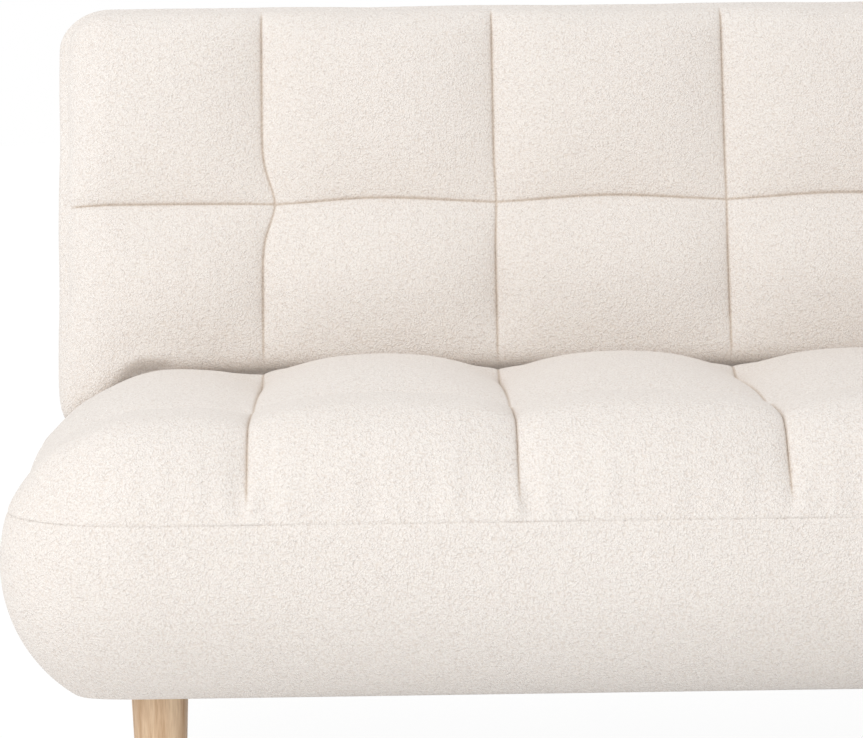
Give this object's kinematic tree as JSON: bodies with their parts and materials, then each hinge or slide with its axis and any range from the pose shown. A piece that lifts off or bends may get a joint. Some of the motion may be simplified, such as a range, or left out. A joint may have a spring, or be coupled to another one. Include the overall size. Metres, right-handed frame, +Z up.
{
  "type": "sofa bed",
  "caption": "Click-clack sofa bed with a tufted boucle seat and folding tufted back, rounded ends and round tapered wooden legs.",
  "frame": {"origin": "centre of the footprint of the whole upright sofa, at floor level", "axes": "+X along the width, to the right seen from the front; the front faces -Y; +Z up"},
  "size_m": [1.8238, 0.7878, 0.8097],
  "materials": {
    "boucle": "looped fleece pile",
    "foam": "open-cell foam",
    "birch_slats": "satin bent laminate",
    "frame_timber": "sawn softwood",
    "light_wood": "clear matt lacquer",
    "steel": "dark grey powder coat",
    "black_steel": "black zinc",
    "black_plastic": "moulded",
    "dust_cloth": "non-woven cloth",
    "webbing": "elastic webbing"
  },
  "bodies": {
    "base": {"seat_cover": "boucle", "seat_foam": "foam", "seat_slats": "birch_slats", "slat_holders": "black_plastic", "left_side_rail": "frame_timber", "right_side_rail": "frame_timber", "front_rail": "frame_timber", "rear_rail": "frame_timber", "rear_beam": "boucle", "centre_rail": "frame_timber", "corner_blocks": "frame_timber", "dust_cover": "dust_cloth", "leg_plates": "steel", "leg_plate_screws": "steel", "hanger_bolts": "steel", "front_left_leg": "light_wood", "front_right_leg": "light_wood", "rear_left_leg": "light_wood", "rear_right_leg": "light_wood", "centre_leg": "light_wood", "leg_glides": "black_plastic", "left_hinge_plate": "steel", "right_hinge_plate": "steel", "left_pivot_pin": "steel", "right_pivot_pin": "steel", "left_pawl_pin": "steel", "right_pawl_pin": "steel", "left_pawl_spring": "steel", "right_pawl_spring": "steel", "hinge_plate_bolts": "steel"},
    "back": {"back_cover": "boucle", "back_foam": "foam", "back_top_rail": "frame_timber", "back_bottom_rail": "frame_timber", "left_stile": "frame_timber", "right_stile": "frame_timber", "mid_stiles": "frame_timber", "back_webbing": "webbing", "rear_panel": "boucle", "left_back_arm": "steel", "right_back_arm": "steel", "left_ratchet": "steel", "right_ratchet": "steel", "ratchet_rivets": "steel", "back_arm_bolts": "steel"},
    "left_pawl": {"left_pawl": "black_steel"},
    "right_pawl": {"right_pawl": "black_steel"}
  },
  "joints": [
    {"name": "back_fold", "type": "hinge", "parent": "base", "child": "back", "pos_m": [0, 0.18008, 0.382], "axis": [-1, 0, 0], "range_deg": [0, 72]},
    {"name": "left_pawl_swing", "type": "hinge", "parent": "base", "child": "left_pawl", "pos_m": [0, 0.18008, 0.315], "axis": [-1, 0, 0], "range_deg": [-43.2, 0]},
    {"name": "right_pawl_swing", "type": "hinge", "parent": "base", "child": "right_pawl", "pos_m": [0, 0.18008, 0.315], "axis": [-1, 0, 0], "range_deg": [-43.2, 0]}
  ],
  "couplings": [
    {"joint": "left_pawl_swing", "follows": "back_fold", "ratio": -0.6},
    {"joint": "right_pawl_swing", "follows": "back_fold", "ratio": -0.6}
  ]
}
